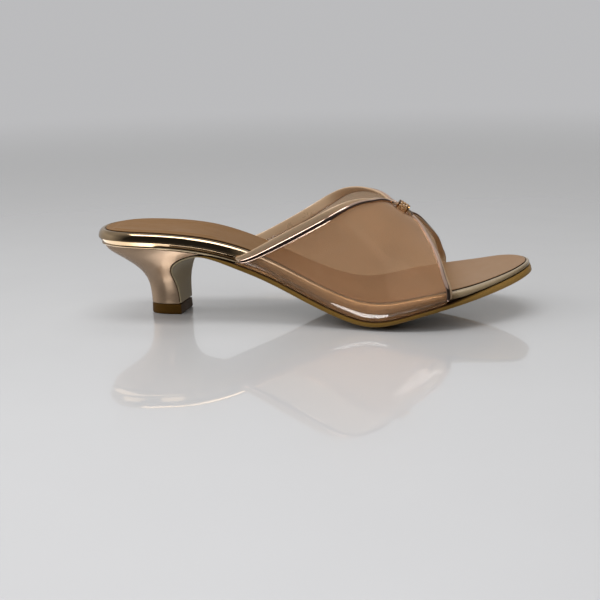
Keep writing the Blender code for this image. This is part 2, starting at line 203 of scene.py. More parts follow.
# underside of the footbed: its edge height less the dish, by the share of the way to the edge
def underside(plan):
    station, offset = plan[..., 0], plan[..., 1]
    lateral = halfWidth("lateral", station) - last["underInset"]
    medial = halfWidth("medial", station) - last["underInset"]
    half = np.maximum((lateral + medial) / 2, 1.0)
    share = np.clip(np.abs(offset - (lateral - medial) / 2) / half, 0, 1)
    hang = 1 - share ** last["dishPower"]
    return soleAt("under", station) - soleAt("dish", station) * closing("medial", station) * hang


# a plan with a height for each of its points
def raised(plan, height):
    return np.concatenate([plan, np.broadcast_to(height, plan.shape[:-1])[..., None]], -1)


# four corners for each cell of a grid, closed round the columns where it wraps
def gridFaces(rows, columns, wrap=False):
    row = np.arange(rows - 1)[:, None] * columns
    column = np.arange(columns if wrap else columns - 1)[None]
    here, beside = row + column, row + (column + 1) % columns
    return np.stack([here, beside, beside + columns, here + columns], -1).reshape(-1, 4)


# a ring gathered to one point at each end closes a tube
def closedTube(rings):
    ends = [np.broadcast_to(ring.mean(0), ring.shape)[None] for ring in (rings[0], rings[-1])]
    return np.concatenate([ends[0], rings, ends[1]])


def addObject(name, data):
    thing = bpy.data.objects.new(name, data)
    scene.collection.objects.link(thing)
    return thing


# puts a piece's points, in mm of the last, into a mesh at the origin, turned outwards; without faces they are
# rings, each joined to the next
def addPiece(name, points, material, nodes=(), sharp=40, masks=None, faces=None):
    mesh = bpy.data.meshes.new(name)
    faces = gridFaces(*points.shape[:2], wrap=True) if faces is None else faces
    place = (points.reshape(-1, 3) * (1, -1, 1) + shift) * mm
    mesh.from_pydata(place.tolist(), [], faces.tolist())
    for mask, values in (masks or {}).items():
        layer = mesh.attributes.new(mask, "FLOAT", "POINT")
        layer.data.foreach_set("value", values.ravel().astype(np.float32))
    body = bmesh.new()
    body.from_mesh(mesh)
    bmesh.ops.remove_doubles(body, verts=body.verts, dist=0.002 * mm)
    bmesh.ops.dissolve_degenerate(body, edges=body.edges, dist=0.0005 * mm)
    bmesh.ops.recalc_face_normals(body, faces=body.faces)
    body.to_mesh(mesh)
    body.free()
    mesh.materials.append(material)
    if sharp:
        mesh.shade_smooth()
        mesh.set_sharp_from_angle(angle=math.radians(sharp))
    piece = addObject(name, mesh)
    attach(piece, "root")
    if nodes:
        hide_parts(*nodes)
    return piece


# a small bevel on the edges sharper than the angle
def softenEdges(piece, width, segments=3, angle=35):
    soft = piece.modifiers.new("softened edges", "BEVEL")
    soft.width = width * mm
    soft.segments = segments
    soft.limit_method = "ANGLE"
    soft.angle_limit = math.radians(angle)
    soft.harden_normals = False


# a node and its inputs: a socket is linked, anything else is set
def addNode(tree, kind, inputs=None, **values):
    node = tree.nodes.new(kind)
    for name, value in values.items():
        setattr(node, name, value)
    for name, value in (inputs or {}).items():
        if isinstance(value, bpy.types.NodeSocket):
            tree.links.new(value, node.inputs[name])
        else:
            node.inputs[name].default_value = value
    return node


# a group takes a place and some numbers, and gives numbers
def newGroup(name, numbers, results):
    group = bpy.data.node_groups.new(name, "ShaderNodeTree")
    sockets = [("Place", "INPUT", "Vector")] + [(socket, "INPUT", "Float") for socket in numbers]
    for socket, way, kind in sockets + [(socket, "OUTPUT", "Float") for socket in results]:
        made = group.interface.new_socket(socket, in_out=way, socket_type="NodeSocket" + kind)
        if socket in numbers:
            made.default_value = numbers[socket]
    return group, group.nodes.new("NodeGroupInput").outputs, group.nodes.new("NodeGroupOutput").inputs


def mathNode(tree, operation, first, second, clamp=False):
    inputs = {0: first, 1: second}
    return addNode(tree, "ShaderNodeMath", inputs, operation=operation, use_clamp=clamp).outputs[0]


def mixColour(tree, amount, first, second):
    return addNode(tree, "ShaderNodeMix", {0: amount, 6: first, 7: second}, data_type="RGBA").outputs[2]


def noiseNode(tree, place, scale, detail):
    inputs = {"Vector": place, "Scale": scale, "Detail": detail}
    return addNode(tree, "ShaderNodeTexNoise", inputs).outputs[0]


def rangeNode(tree, value, given, wanted=(0.0, 1.0), **values):
    names = ("Value", "From Min", "From Max", "To Min", "To Max")
    inputs = dict(zip(names, (value, *given, *wanted)))
    return addNode(tree, "ShaderNodeMapRange", inputs, **values).outputs[0]


def maskNode(tree, name):
    return addNode(tree, "ShaderNodeAttribute", attribute_name=name).outputs["Fac"]


# handling marks: two sizes of cloud, spread between a low and a high value
def makeSmudges():
    numbers = {"Size": 60.0, "Low": 0.1, "High": 0.2}
    group, given, result = newGroup("smudges", numbers, ("Value", "Cloud"))
    broad = noiseNode(group, given["Place"], given["Size"], 3.0)
    small = noiseNode(group, given["Place"], mathNode(group, "MULTIPLY", given["Size"], 6.0), 2.0)
    both = mathNode(group, "MULTIPLY", broad, 0.7)
    both = mathNode(group, "ADD", both, mathNode(group, "MULTIPLY", small, 0.3))
    spread = rangeNode(group, both, (0.32, 0.68))
    value = rangeNode(group, spread, (0.0, 1.0), (given["Low"], given["High"]))
    group.links.new(value, result["Value"])
    group.links.new(spread, result["Cloud"])
    return group


# pebbled hide: cells with sunk borders, broken up by a finer cloud
def makeHideGrain():
    group, given, result = newGroup("hideGrain", {"Cells": 1400.0, "Cloud": 0.35}, ("Height", "Crevice"))
    inputs = {"Vector": given["Place"], "Scale": given["Cells"]}
    cells = addNode(group, "ShaderNodeTexVoronoi", inputs, feature="DISTANCE_TO_EDGE")
    rise = rangeNode(group, cells.outputs[0], (0.0, 0.22))
    cloud = noiseNode(group, given["Place"], mathNode(group, "MULTIPLY", given["Cells"], 0.35), 4.0)
    part = mathNode(group, "MULTIPLY", cloud, given["Cloud"])
    group.links.new(mathNode(group, "ADD", rise, part), result["Height"])
    group.links.new(mathNode(group, "SUBTRACT", 1.0, rise, clamp=True), result["Crevice"])
    return group


# metal flake in a lacquer: tiny cells of uneven brightness
def makeFlake():
    group, given, result = newGroup("metalFlake", {"Cells": 3500.0}, ("Flake", "Height"))
    cells = addNode(group, "ShaderNodeTexVoronoi", {"Vector": given["Place"], "Scale": given["Cells"]})
    split = addNode(group, "ShaderNodeSeparateColor", {"Color": cells.outputs["Color"]})
    cloud = noiseNode(group, given["Place"], given["Cells"], 1.0)
    group.links.new(split.outputs[0], result["Flake"])
    mixed = mathNode(group, "MULTIPLY", split.outputs[1], 0.5)
    group.links.new(mathNode(group, "ADD", mixed, cloud), result["Height"])
    return group


smudges, hideGrain, metalFlake = makeSmudges(), makeHideGrain(), makeFlake()


def useGroup(tree, group, **inputs):
    place = addNode(tree, "ShaderNodeTexCoord").outputs["Object"]
    named = {name.capitalize(): value for name, value in inputs.items()}
    return addNode(tree, "ShaderNodeGroup", {"Place": place, **named}, node_tree=group).outputs


def newMaterial(name, **fixed):
    material = bpy.data.materials.new(name)
    material.use_nodes = True
    tree = material.node_tree
    shader = tree.nodes["Principled BSDF"]
    for socket, value in fixed.items():
        shader.inputs[socket.replace("_", " ")].default_value = value
    return material, tree, shader


def finishWith(tree, shader, **sockets):
    for socket, value in sockets.items():
        tree.links.new(value, shader.inputs[socket.replace("_", " ")])


def bumpInto(tree, shader, height, strength, distance):
    inputs = {"Height": height, "Strength": strength, "Distance": distance * mm}
    finishWith(tree, shader, Normal=addNode(tree, "ShaderNodeBump", inputs).outputs[0])


# Patent: mirror lacquer, worn paler by the rub mask. The forepart mask makes it duller, with more coat and
# less metal; the line mask paints a bright highlight in the pale second colour, with less metal.
patent = {
    "marks": 70, "grain": 420, "bump": (0.12, 0.03),
    "coat": 0.35, "coatRough": 0.7,  # as a share of the finish's own roughness
    "foreCoat": 0.5, "foreRough": 0.2, "bare": 0.85,
}


def patentMaterial(name, base, wearAndHighlight, low, high, softer=None, metal=1.0, lacquer=1.5):
    coat, rougher = patent["coat"], patent["coatRough"] * low
    material, tree, shader = newMaterial(
        name, Metallic=metal, Coat_Weight=coat, Coat_Roughness=rougher, Coat_IOR=lacquer
    )
    marks = useGroup(tree, smudges, size=patent["marks"], low=low, high=high)
    # the pale second colour serves both real wear under the rub mask and painted highlight under the line
    # mask
    scuffed = mathNode(tree, "MULTIPLY", maskNode(tree, "rub"), marks["Cloud"])
    tone, rough = mixColour(tree, scuffed, (*base, 1), (*wearAndHighlight, 1)), marks["Value"]
    if softer:
        # the line mask lays painted highlight
        forepart, line = maskNode(tree, "forepart"), maskNode(tree, "line")
        tone = mixColour(tree, line, mixColour(tree, forepart, tone, (*softer, 1)), (*wearAndHighlight, 1))
        rough = mathNode(tree, "ADD", rough, mathNode(tree, "MULTIPLY", forepart, patent["foreRough"]))
        bare = mathNode(tree, "MULTIPLY", mathNode(tree, "MAXIMUM", forepart, line), patent["bare"])
        thicker = mathNode(tree, "ADD", mathNode(tree, "MULTIPLY", forepart, patent["foreCoat"]), coat)
        finishWith(tree, shader, Metallic=mathNode(tree, "SUBTRACT", 1.0, bare), Coat_Weight=thicker)
    finishWith(tree, shader, Base_Color=tone, Roughness=rough)
    grain = useGroup(tree, smudges, size=patent["grain"])
    strength, distance = patent["bump"]
    bumpInto(tree, shader, grain["Cloud"], strength * metal, distance)
    return material


# painted heel: metal flake of two tones under a thin dull coat
def satinMaterial(name, base, dark):
    material, tree, shader = newMaterial(name, Metallic=0.65, Coat_Weight=0.12, Coat_Roughness=0.2)
    marks = useGroup(tree, smudges, size=90.0, low=0.2, high=0.26)
    flake = useGroup(tree, metalFlake, cells=4200.0)
    tone = mixColour(tree, flake["Flake"], (*dark, 1), (*base, 1))
    finishWith(tree, shader, Base_Color=tone, Roughness=marks["Value"])
    bumpInto(tree, shader, flake["Height"], 0.02, 0.04)
    return material


# hide: darker in its crevices and where it is handled, then each mask lays on a colour of its own
def hideMaterial(name, base, deep, finish, **layers):
    material, tree, shader = newMaterial(name, Specular_IOR_Level=finish["shine"])
    low, high = finish["rough"]
    hide = useGroup(tree, hideGrain, cells=finish["cells"], cloud=finish["cloud"])
    marks = useGroup(tree, smudges, size=finish["marks"], low=low, high=high)
    crevice = mathNode(tree, "MULTIPLY", hide["Crevice"], finish["crevice"])
    handled = mathNode(tree, "MULTIPLY", marks["Cloud"], finish["handled"])
    tone = mathNode(tree, "ADD", crevice, handled, clamp=True)
    skin = mixColour(tree, tone, (*base, 1), (*deep, 1))
    for mask, other in layers.items():
        skin = mixColour(tree, maskNode(tree, mask), skin, (*other, 1))
    finishWith(tree, shader, Base_Color=skin, Roughness=marks["Value"])
    bumpInto(tree, shader, hide["Height"], *finish["bump"])
    return material


# clear tinted vinyl: lamps shine through it as through a coloured film
def vinylMaterial(name, tint, shadowTint):
    material, tree, shader = newMaterial(name, Transmission_Weight=0.88, IOR=1.42)
    marks = useGroup(tree, smudges, size=40.0, low=0.02, high=0.07)
    faded = tuple(0.94 * part for part in tint)
    tone = mixColour(tree, marks["Cloud"], (*tint, 1), (*faded, 1))
    finishWith(tree, shader, Base_Color=tone, Roughness=marks["Value"])
    bumpInto(tree, shader, useGroup(tree, smudges, size=24.0)["Cloud"], 0.1, 0.25)
    film = addNode(tree, "ShaderNodeBsdfTransparent", {"Color": (*shadowTint, 1)})
    shadow = addNode(tree, "ShaderNodeLightPath").outputs["Is Shadow Ray"]
    mixed = addNode(tree, "ShaderNodeMixShader", {0: shadow, 1: shader.outputs[0], 2: film.outputs[0]})
    tree.links.new(mixed.outputs[0], tree.nodes["Material Output"].inputs["Surface"])
    return material


# cut stones: glassy, each of an uneven champagne tone
def stoneMaterial(name, deep, pale):
    material, tree, shader = newMaterial(name, Metallic=0.0, IOR=1.9, Roughness=0.03)
    marks = useGroup(tree, smudges, size=900.0)
    finishWith(tree, shader, Base_Color=mixColour(tree, marks["Cloud"], (*deep, 1), (*pale, 1)))
    return material


liningHide = {
    "shine": 0.1, "cells": 1500, "cloud": 0.5, "marks": 28, "rough": (0.36, 0.5),
    "crevice": 0.35, "handled": 0.3, "bump": (0.22, 0.06),
}
soleHide = {
    "shine": 0.2, "cells": 900, "cloud": 0.8, "marks": 45, "rough": (0.28, 0.42),
    "crevice": 0.3, "handled": 0.45, "bump": (0.25, 0.08),
}
tipHide = {**soleHide, "rough": (0.38, 0.55)}
# its pale second colour only lays the painted highlight lines on the rim
roseGold = patentMaterial(
    "roseGoldPatent", (0.52, 0.36, 0.20), (0.95, 0.78, 0.52), 0.05, 0.1,
    softer=(0.15, 0.092, 0.036), lacquer=2.2,
)
stripGold = patentMaterial("roseGoldPiping", (0.60, 0.42, 0.33), (0.72, 0.56, 0.46), 0.04, 0.09)
tanTape = patentMaterial("tanTape", (0.53, 0.36, 0.22), (0.62, 0.45, 0.30), 0.26, 0.34, metal=0.15)
claspGold = patentMaterial("claspGold", (0.42, 0.22, 0.07), (0.60, 0.36, 0.16), 0.12, 0.22)
satinGold = satinMaterial("roseGoldSatin", (0.68, 0.485, 0.325), (0.60, 0.42, 0.28))
nudeLining = hideMaterial(  # painted shade at the ball, a painted sheen paler at the toe, a dark edge that is both cut edge and painted shade of the gap by the rim
    "nudeLining", (0.225, 0.115, 0.040), (0.18, 0.088, 0.027), liningHide,
    ball=(0.155, 0.08, 0.025), toe=(0.29, 0.18, 0.105), cut=(0.035, 0.016, 0.006),
)
oliveSole = hideMaterial(  # paler at the toe and on the heel's front; its glued upper side is dark, a glue stain and painted shade of the groove under the band
    "oliveSole", (0.235, 0.135, 0.03), (0.165, 0.09, 0.018), soleHide,
    toe=(0.44, 0.255, 0.07), flap=(0.40, 0.325, 0.20), stained=(0.03, 0.012, 0.004),
)
brownTip = hideMaterial("brownTip", (0.1, 0.046, 0.005), (0.06, 0.026, 0.002), tipHide)
amberVinyl = vinylMaterial("amberVinyl", (0.80, 0.595, 0.42), (0.96, 0.92, 0.86))
champagneStone = stoneMaterial("champagneStone", (0.26, 0.11, 0.03), (0.78, 0.50, 0.27))
print("finishes ready")


# Footbed: from below, the rim goes by a slanted band and a crease up to a bead, then down to the sock.
# Points are mm in from the widest line and the share of the thickness climbed. Pairs are where a thing comes
# in, or goes where the larger is first.
footbed = {
    "edge": (
        (3.4, 0), (2.5, 0), (2, 0.012), (1.72, 0.035), (1.6, 0.065), (1.64, 0.095), (1.9, 0.12),
        (2.24, 0.132), (2.34, 0.15), (0.16, 0.4),
    ),
    "bead": (3.45, 0.53),  # how far in and up its crown lies from the crease
    "beadSteps": 24,
    "inner": ((3.65, 0.935), (3.85, 0.9), (4, 0.86), (4.05, 0.83)),
    "thickness": 9.5,  # about, to space the rows evenly
    "rows": 120, "rounding": 2, "capRows": 12,
    "crease": 0.43,
    "toeCrease": 0.6, "toeCreaseIn": (200, 214),  # how much lower the crease lies at the toe
    "seatFoot": (0.11, 0.15, 0.4), "seatFlat": 0.5,  # round the seat the band's foot comes out
    "seatEnds": (36, 42),
    "sink": 1,  # how deep the sock's bed lies
    "bedInset": 3.3, "bedMargin": 0.15,  # further in than this the rim stays above the bed
    "dipRise": 0.1,  # the dish runs out up to this share
    "outside": 3.4,  # painted highlight lines lie no further in than this
    # lip, crown and toe are painted highlights: pale lines along the lip and the bead's crown, and a paler
    # top of the bead at the toe
    "lip": {"at": 0.08, "wide": 0.035, "out": (112, 100)},
    "crownHighlight": {"at": 0.89, "wide": 0.008, "shine": 0.6, "in": (96, 108), "out": (222, 206)},
    "toe": {"above": (0.1, 0.2), "shine": 0.24, "in": (203, 212)},
    "dullIn": (80, 104),
    "dullBand": 0.7,  # how dull the band is, of the bead's 1
    "dullEdge": (-0.02, 0.06),  # either side of the crease
}


# the footbed's top under the sock: its underside and its thickness, less the sink
def sockBed(plan):
    return underside(plan) + soleAt("thick", plan[..., 0]) - footbed["sink"]


# a bell curve across the rim for a painted highlight line, 1 at the line's own height
def highlightLine(line, rise):
    return np.exp(-(((rise - line["at"]) / line["wide"]) ** 2))


# where the rim gets painted highlight lines and where it is dull
def rimMasks(inset, rise, station):
    lip, crownHighlight, toe = footbed["lip"], footbed["crownHighlight"], footbed["toe"]
    outside = inset < footbed["outside"]
    # line is painted highlight, along the lip, the bead's crown and the top of the bead at the toe
    line = highlightLine(lip, rise) * smoothStep(*footbed["seatEnds"], station) * smoothStep(*lip["out"], station)
    bright = crownHighlight["shine"] * highlightLine(crownHighlight, rise) * outside
    line = line + bright * smoothStep(*crownHighlight["in"], station) * smoothStep(*crownHighlight["out"], station)
    line = line + toe["shine"] * smoothStep(*toe["above"], rise) * outside * smoothStep(*toe["in"], station)
    low, high = footbed["dullEdge"]
    onBead = smoothStep(footbed["crease"] + low, footbed["crease"] + high, rise)
    dull = footbed["dullBand"] + (1 - footbed["dullBand"]) * onBead
    return {"line": np.clip(line, 0, 1), "forepart": smoothStep(*footbed["dullIn"], station) * dull}


# the profile carried round the plan: each row is a ring at its inset, at the underside plus the share of the
# thickness that it has climbed; rings shrinking to the middle close it below and above
def makeFootbed():
    scale = np.array([1.0, footbed["thickness"]])
    turn = np.linspace(0, math.pi / 2, footbed["beadSteps"])
    far, tall = footbed["bead"]
    bead = np.c_[far * (1 - np.cos(turn)), footbed["crease"] + tall * np.sin(turn)]
    profile = np.r_[footbed["edge"], bead, footbed["inner"]] * scale
    profile = roundedLine(profile, footbed["rows"], footbed["rounding"]) / scale
    inset, rise = profile[:, :1], profile[:, 1:]
    foot = np.interp(rise, footbed["seatFoot"], (0, 1, 0)) * footbed["seatFlat"]
    plan = ringAt(inset - foot * smoothStep(*footbed["seatEnds"][::-1], widest[:, 0]))
    station = plan[..., 0]
    under, thick = soleAt("under", station), soleAt("thick", station)
    crease = footbed["crease"] * (1 - footbed["toeCrease"] * smoothStep(*footbed["toeCreaseIn"], station))
    stretched = 1 - (1 - rise) * (1 - crease) / (1 - footbed["crease"])
    climbed = np.where(rise < footbed["crease"], rise * crease / footbed["crease"], stretched)
    height = under + climbed * thick
    bed = under + thick - footbed["sink"] - footbed["bedMargin"]
    inner = (inset > footbed["bedInset"]) & (rise > footbed["crease"])
    height = np.where(inner, np.maximum(height, bed), height)
    dip = np.clip(1 - rise / footbed["dipRise"], 0, 1)
    rim = raised(plan, height - dip * (under - underside(plan)))
    shares = np.linspace(0, 1, footbed["capRows"])
    below, above = capRings(plan[0], shares[:-1]), capRings(plan[-1], shares[::-1])
    below, above = raised(below, underside(below)), raised(above, sockBed(above))
    masks = {}
    for mask, values in rimMasks(inset, rise, station).items():
        masks[mask] = np.concatenate([np.zeros(below.shape[:2]), values, np.zeros(above.shape[:2])])
    rings = np.concatenate([below, rim, above])
    addPiece("rimmedFootbed", rings, roseGold, ["footbed"], sharp=50, masks=masks)


makeFootbed()
print("footbed made")

# Sock lining: a rolled edge, in mm in from the widest line and up from the bed, and a shallow heel cushion
sock = {
    "profile": (
        (6.2, 0), (5, 0.02), (4.62, 0.1), (4.55, 0.3), (4.5, 0.6), (4.55, 0.9), (4.75, 1.15),
        (5.1, 1.3), (5.8, 1.38), (6.6, 1.4),
    ),
    "rows": 22, "capRows": 26,
    "cushionRise": 0.5,
    "cushionInset": 9,
    "cushionEdge": (-1.2, 1.6),  # its slope, either side of the inset
    "cushionBack": 3,
    "cushionEnds": (78, 69),
    "cutTop": 1,  # the cut edge, dark also by painted shade, shows up to this height
    # painted shade at the ball comes in over these stations
    "ballStations": (135, 165),
    # a painted sheen, paler and greyer, comes in at the toe over these stations
    "toeStations": (190, 222),
}


# the rolled edge carried round the plan on its bed, closed by shrinking rings; the cushion is a smooth step
# by the distance in from the edge
def makeSock():
    profile = refine(sock["profile"], sock["rows"])
    plan = ringAt(profile[:, :1])
    bed = sockBed(plan) + last["clearance"]
    rim = raised(plan, bed + profile[:, 1][:, None])
    shares = np.linspace(0, 1, sock["capRows"])
    below, above = capRings(plan[0], shares[:-1:5]), capRings(plan[-1], shares[::-1][1:])
    edge = np.linalg.norm(plan[-1] - plan[-1][across], axis=-1) / 2
    inside = edge * (1 - shares[::-1][1:, None]) + profile[-1, 0]
    far, station = sock["cushionInset"], above[..., 0]
    low, high = sock["cushionEdge"]
    cushion = smoothStep(far + low, far + high, inside) * smoothStep(*sock["cushionEnds"], station)
    cushion = cushion * smoothStep(far, far + sock["cushionBack"], station - last["seatBack"])
    top = sockBed(above) + last["clearance"] + profile[-1, 1] + sock["cushionRise"] * cushion
    below = raised(below, sockBed(below) + last["clearance"])
    rings = np.concatenate([below, rim, raised(above, top)])
    # the edge's low rows take a dark colour: a cut edge, and painted shade of the gap by the rim
    side = np.r_[np.ones(len(below)), profile[:, 1] < sock["cutTop"], np.zeros(len(above))]
    masks = {"cut": np.broadcast_to(side[:, None], rings.shape[:2])}
    # painted shade at the ball and a painted sheen at the toe, each over its stations
    for mask in ("ball", "toe"):
        masks[mask] = smoothStep(*sock[mask + "Stations"], rings[..., 0])
    addPiece("sockLining", rings, nudeLining, ["insole"], masks=masks)


makeSock()
print("sock lining made")

# Heel: levels as a share of the way from the tip to the seat. back and front are stations, turn is how far
# the flat front faces the outer side, square is how boxy the back is.
heel = {
    "share": (0, 0.21, 0.40, 0.56, 0.70, 0.82, 0.91, 1),
    "back": (30.5, 30, 28.3, 24.5, 18.5, 11.5, 6.6, 4.8),
    "front": (49.9, 49.6, 49, 48.8, 50.2, 54.2, 59.9, 67.6),
    "centre": (-5, -5, -4.8, -4.4, -3.7, -2.9, -2, -1),
    "half": (9.2, 9.5, 11.2, 14.4, 17.7, 20.4, 22.5, 24.6),
    "turn": (11.5, 12.5, 14.5, 15.5, 13.5, 11, 9.5, 8),
    "square": (2.6, 2.5, 2.3, 2.1, 2, 2, 2, 2.05),
    "tipHeight": 6,
    "rows": 80, "around": 44, "acrossFront": 18,
    "topShares": (0.8, 0.55, 0.3),  # rings that close the seat
    "edgeRound": 0.35,
}
# Tip: height and share of the heel's lowest plan
topPiece = {
    "levels": ((0, 0.97), (0.35, 1), (0.9, 1.025), (2.5, 1.015), (4.4, 1.005), (5.6, 1), (6, 0.985)),
    "edgeRound": 0.25,
}


# a row of the heel at any share, by the cubic through it
def heelAt(name, share):
    return spline(share, heel["share"], heel[name])


# the flat front of a level: place runs from 1 at the outer corner to -1 at the inner one
def heelFront(share, place):
    reach = heelAt("half", share) * place
    station = heelAt("front", share) - np.tan(np.radians(heelAt("turn", share))) * reach
    return np.stack(np.broadcast_arrays(station, heelAt("centre", share) + reach), -1)


# a level's plan: a superellipse round the back from corner to corner, then along the flat front
def heelPlan(share):
    share = np.atleast_1d(share)[:, None]
    turn = np.linspace(math.pi / 2, -math.pi / 2, 2 * heel["around"] + 1)[None]
    power = 2 / heelAt("square", share)
    place = np.sign(turn) * np.abs(np.sin(turn)) ** power
    plan = heelFront(share, place)
    plan[..., 0] += (heelAt("back", share) - plan[..., 0]) * np.abs(np.cos(turn)) ** power
    front = heelFront(share, np.linspace(-1, 1, heel["acrossFront"] + 1)[1:-1][None])
    return np.concatenate([plan, front], 1)


# heights by the share of the way from the tip to the footbed's underside
def heelLevel(plan, share):
    low = heel["tipHeight"] + last["clearance"]
    return raised(plan, low + share * (underside(plan) - last["clearance"] - low))


# levels stacked from the tip to the seat, gathered to a point at each end
def makeHeel():
    share = np.linspace(0, 1, heel["rows"])
    rings = heelLevel(heelPlan(share), share[:, None])
    top = heelPlan(1.0)[0]
    inner = top.mean(0) + (top - top.mean(0)) * np.array(heel["topShares"])[:, None, None]
    rings = closedTube(np.concatenate([rings, heelLevel(inner, 1.0)]))
    softenEdges(addPiece("flaredHeel", rings, satinGold, ["heel"], sharp=42), heel["edgeRound"])


# the heel's lowest plan, stretched forward under the sole's flap, scaled by each level's share
def makeTip():
    plan = heelPlan(0.0)[0]
    back, front = heel["back"][0], heel["front"][0]
    plan[:, 0] += (plan[:, 0] - back) * outsole["flapThick"] / (front - back)
    height, share = np.array(topPiece["levels"]).T
    rings = plan.mean(0) + (plan - plan.mean(0)) * share[:, None, None]
    rings = closedTube(raised(rings, height[:, None]))
    piece = addPiece("heelTip", rings, brownTip, ["top_piece"], sharp=42)
    softenEdges(piece, topPiece["edgeRound"])


# Outsole: down the heel's front, under the arch, flat at the ball, up to the toe
outsole = {
    "flapShares": (0.02, 0.95), "flapWide": 0.965, "flapThick": 0.9, "flapRows": 48,
    "start": 71, "rows": 170, "columns": 40,
    "edgeRound": 0.3, "edgeShares": (0.2, 0.4, 0.6, 0.8),
    "heelStations": (70, 63),  # the flap's thickness comes in
    "flapStations": (67, 59),  # and its tone
    "toeStations": (200, 236),
    "tipStations": (228, 240),  # the tip takes its direction from the first of these
    "toeLessStainAndShade": 0.8,  # how much of the stain and painted shade is gone at the toe
}


# the upper face goes down the heel's front and along the underside, a straight mix from side to side; the
# lower face lies its thickness off, square to it
def makeOutsole():
    place = np.linspace(outsole["flapWide"], -outsole["flapWide"], outsole["columns"] + 1)[None]
    share = np.linspace(*outsole["flapShares"], outsole["flapRows"])[:, None]
    flap = heelLevel(heelFront(share, place), share)
    flare = soleAt("flare", widest[:, 0])
    rim = widest + outward * flare[:, None]
    steps = last["steps"]
    outer, inner = rim[: steps + 1], rim[across][: steps + 1]
    keep = (outer[:, 0] > outsole["start"]) & (inner[:, 0] > outsole["start"])
    mix = np.linspace(0, 1, outsole["columns"] + 1)[None, :, None]
    plan = outer[keep][:, None] * (1 - mix) + inner[keep][:, None] * mix
    face = np.concatenate([flap, raised(plan, underside(plan) - last["clearance"])])
    face = np.stack([refine(face[:, c], outsole["rows"]) for c in range(face.shape[1])], 1)
    down = unit(np.cross(np.gradient(face, axis=0), np.gradient(face, axis=1) + 1e-9))
    middle = outsole["columns"] // 2
    level = np.abs(face[:, middle, 0] - outsole["tipStations"][0]).argmin()
    tip = smoothStep(*outsole["tipStations"], face[..., :1])
    down = unit(down * (1 - tip) + down[level, middle] * tip)
    onHeel = smoothStep(*outsole["heelStations"], face[:, :1, :1])
    upper = face + down * onHeel * last["clearance"]
    thick = soleAt("tread", face[..., :1]) * (1 - onHeel) + outsole["flapThick"] * onHeel
    lower = upper + down * thick
    lower[..., 2] = np.maximum(lower[..., 2], 0)
    turn = np.array(outsole["edgeShares"])[None, :, None]
    edges = []
    for c, beside in ((-1, -2), (0, 1)):
        out = unit(upper[:, c] - upper[:, beside])[:, None]
        start, end = (upper, lower) if c else (lower, upper)
        bow = np.sin(math.pi * turn) * outsole["edgeRound"]
        edges.append(start[:, c][:, None] * (1 - turn) + end[:, c][:, None] * turn + out * bow)
    rings = closedTube(np.concatenate([upper, edges[0], lower[:, ::-1], edges[1]], 1))
    hidden = np.arange(rings.shape[1]) < upper.shape[1]
    toe = smoothStep(*outsole["toeStations"], rings[..., 0])
    masks = {"toe": toe, "stained": hidden * (1 - outsole["toeLessStainAndShade"] * toe)}  # the glued side gets a glue stain and painted shade of the groove
    masks["flap"] = smoothStep(*outsole["flapStations"], rings[..., 0])
    addPiece("treadSole", rings, oliveSole, ["outsole"], sharp=35, masks=masks)


makeHeel()
makeTip()
makeOutsole()
print("heel, tip and outsole made")

# Band: levels climb from the sole to the clasp. in is the share of the way to the clasp, below 0 where the
# band leans out, up is the height above the sole's edge.
band = {
    "climb": (0, 0.10, 0.25, 0.42, 0.56, 0.66, 0.76, 0.86, 0.93, 1),
    "rearStation": (79.5, 90, 104, 122, 135, 144, 152.8, 161.5, 168.5, 174.5),
    "rearIn": (0, -0.08, -0.17, -0.28, -0.36, -0.22, 0.08, 0.41, 0.72, 1),
    "rearUp": (0, 2.8, 8.3, 17.3, 24.6, 29.5, 32.4, 32.9, 31.2, 26.4),
    "frontStation": (205, 205.2, 203.4, 201.2, 199, 196.9, 194.3, 191.2, 188, 184),
    "frontIn": (0, 0, 0.09, 0.25, 0.42, 0.56, 0.71, 0.84, 0.93, 1),
    "frontUp": (0, 6, 12, 18.6, 23.6, 27.2, 31.2, 35.8, 39.2, 41.4),
    "standOut": 1.4, "lift": 0.2, "bulge": 4, "wall": 1,
    "innerLift": 1.4, "innerFront": 3.6,
    "outerBack": 1.8, "outerUp": 3.4, "outerSwell": 0.85,  # the outer rear edge swells back and up
    "tuck": 2.1, "tuckHeight": 5, "tuckPower": 1.7,  # the margin turns in under the footbed
    "edgeStep": 0.01,  # share of a level over which the edges' directions are taken
    "leastReach": 0.35,
    "underTape": 0.9,  # the sheet ends this much of the tape's width from the edge
    "climbRows": 110, "climbPower": 1.25, "alongColumns": 130,  # rows lie closer at the sole
    "foldRows": 5, "foldPasses": 12,  # the fold over the top is rounded off
    # station, height above the sole, half width, half height, depth of each pucker at the margin
    "puckers": ((160, 4, 1.1, 3.2, -0.28), (141, 3, 2.4, 3.5, 0.16), (178, 3, 2, 3, -0.16)),
}


# a row of the band at any climb, by the cubic through it
def bandAt(name, climb):
    return spline(climb, band["climb"], band[name])


# the band's line along the sole: the half width and what it stands out, a little above the underside's edge
def bandFoot(side, station):
    offset = sideSign[side] * (halfWidth(side, station) + band["standOut"])
    return np.stack([station, offset, soleAt("under", station) + band["lift"]], -1)


# an edge of the band: from the sole in towards the clasp by its share and up by its height; the outer rear
# edge swells by a sine, and so does the inner side's lift
def bandEnd(side, end, climb):
    inner = float(side == "medial")
    ahead = band["innerFront"] * inner * (end == "front")
    foot = bandFoot(side, bandAt(end + "Station", np.zeros_like(climb)) + ahead)
    swell = (1 - inner) * (end == "rear") * np.sin(math.pi * np.clip(climb / band["outerSwell"], 0, 1))
    station = bandAt(end + "Station", climb) + ahead * (1 - climb**2) - band["outerBack"] * swell
    inwards = bandAt(end + "In", climb)
    offset = foot[..., 1] * (1 - inwards) + last["claspOffset"] * inwards
    height = foot[..., 2] + bandAt(end + "Up", climb)
    height = height + inner * band["innerLift"] * np.sin(math.pi * climb) + band["outerUp"] * swell
    return np.stack([station, offset, height], -1)


